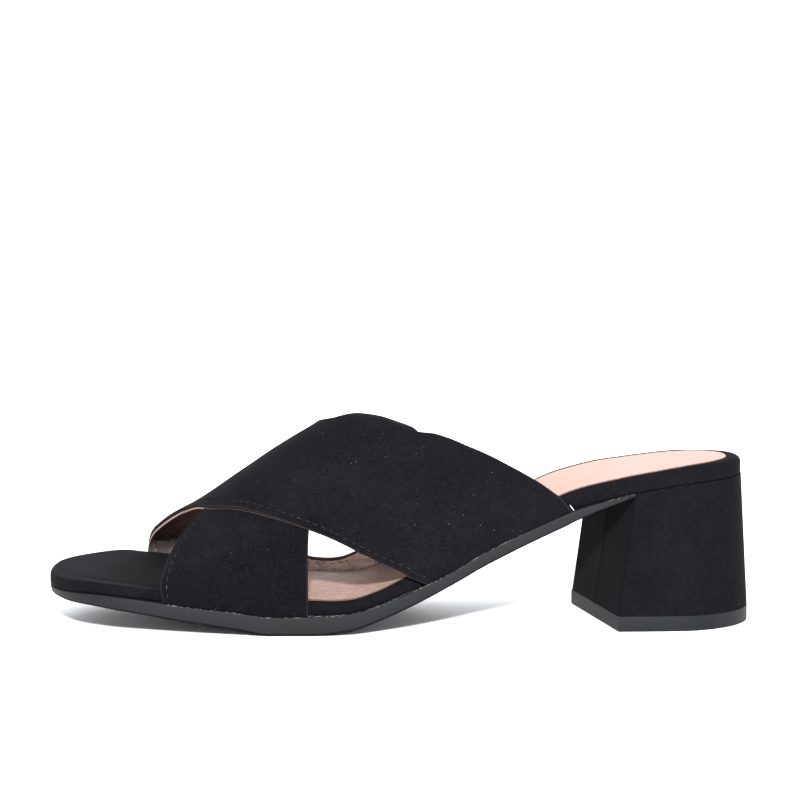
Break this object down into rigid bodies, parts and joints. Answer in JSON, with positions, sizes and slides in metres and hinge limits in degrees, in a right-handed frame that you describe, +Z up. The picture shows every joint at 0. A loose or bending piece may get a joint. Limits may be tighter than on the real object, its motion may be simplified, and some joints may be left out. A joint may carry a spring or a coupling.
{
  "type": "mule sandal",
  "caption": "Open-toe mule sandal for the left foot: crossed suede straps over a wrapped insole, rubber sole and covered block heel.",
  "frame": {"origin": "middle of the shoe's length and width, on the floor it stands on", "axes": "+Z up; the toe points to -X and the heel to +X; the outer side of the foot is -Y and the inner side +Y"},
  "size_m": [0.238, 0.0764, 0.0698],
  "materials": {
    "suede": "black suede with a short brushed nap, no gloss",
    "sole_rubber": "dark grey moulded rubber, satin",
    "lining_leather": "peach unlined leather, soft satin"
  },
  "bodies": {
    "root": {"outsole": "sole_rubber", "heel_top_piece": "sole_rubber", "insole": "suede", "sock_lining": "lining_leather", "upper_straps": "suede", "heel_block": "suede"}
  },
  "joints": []
}
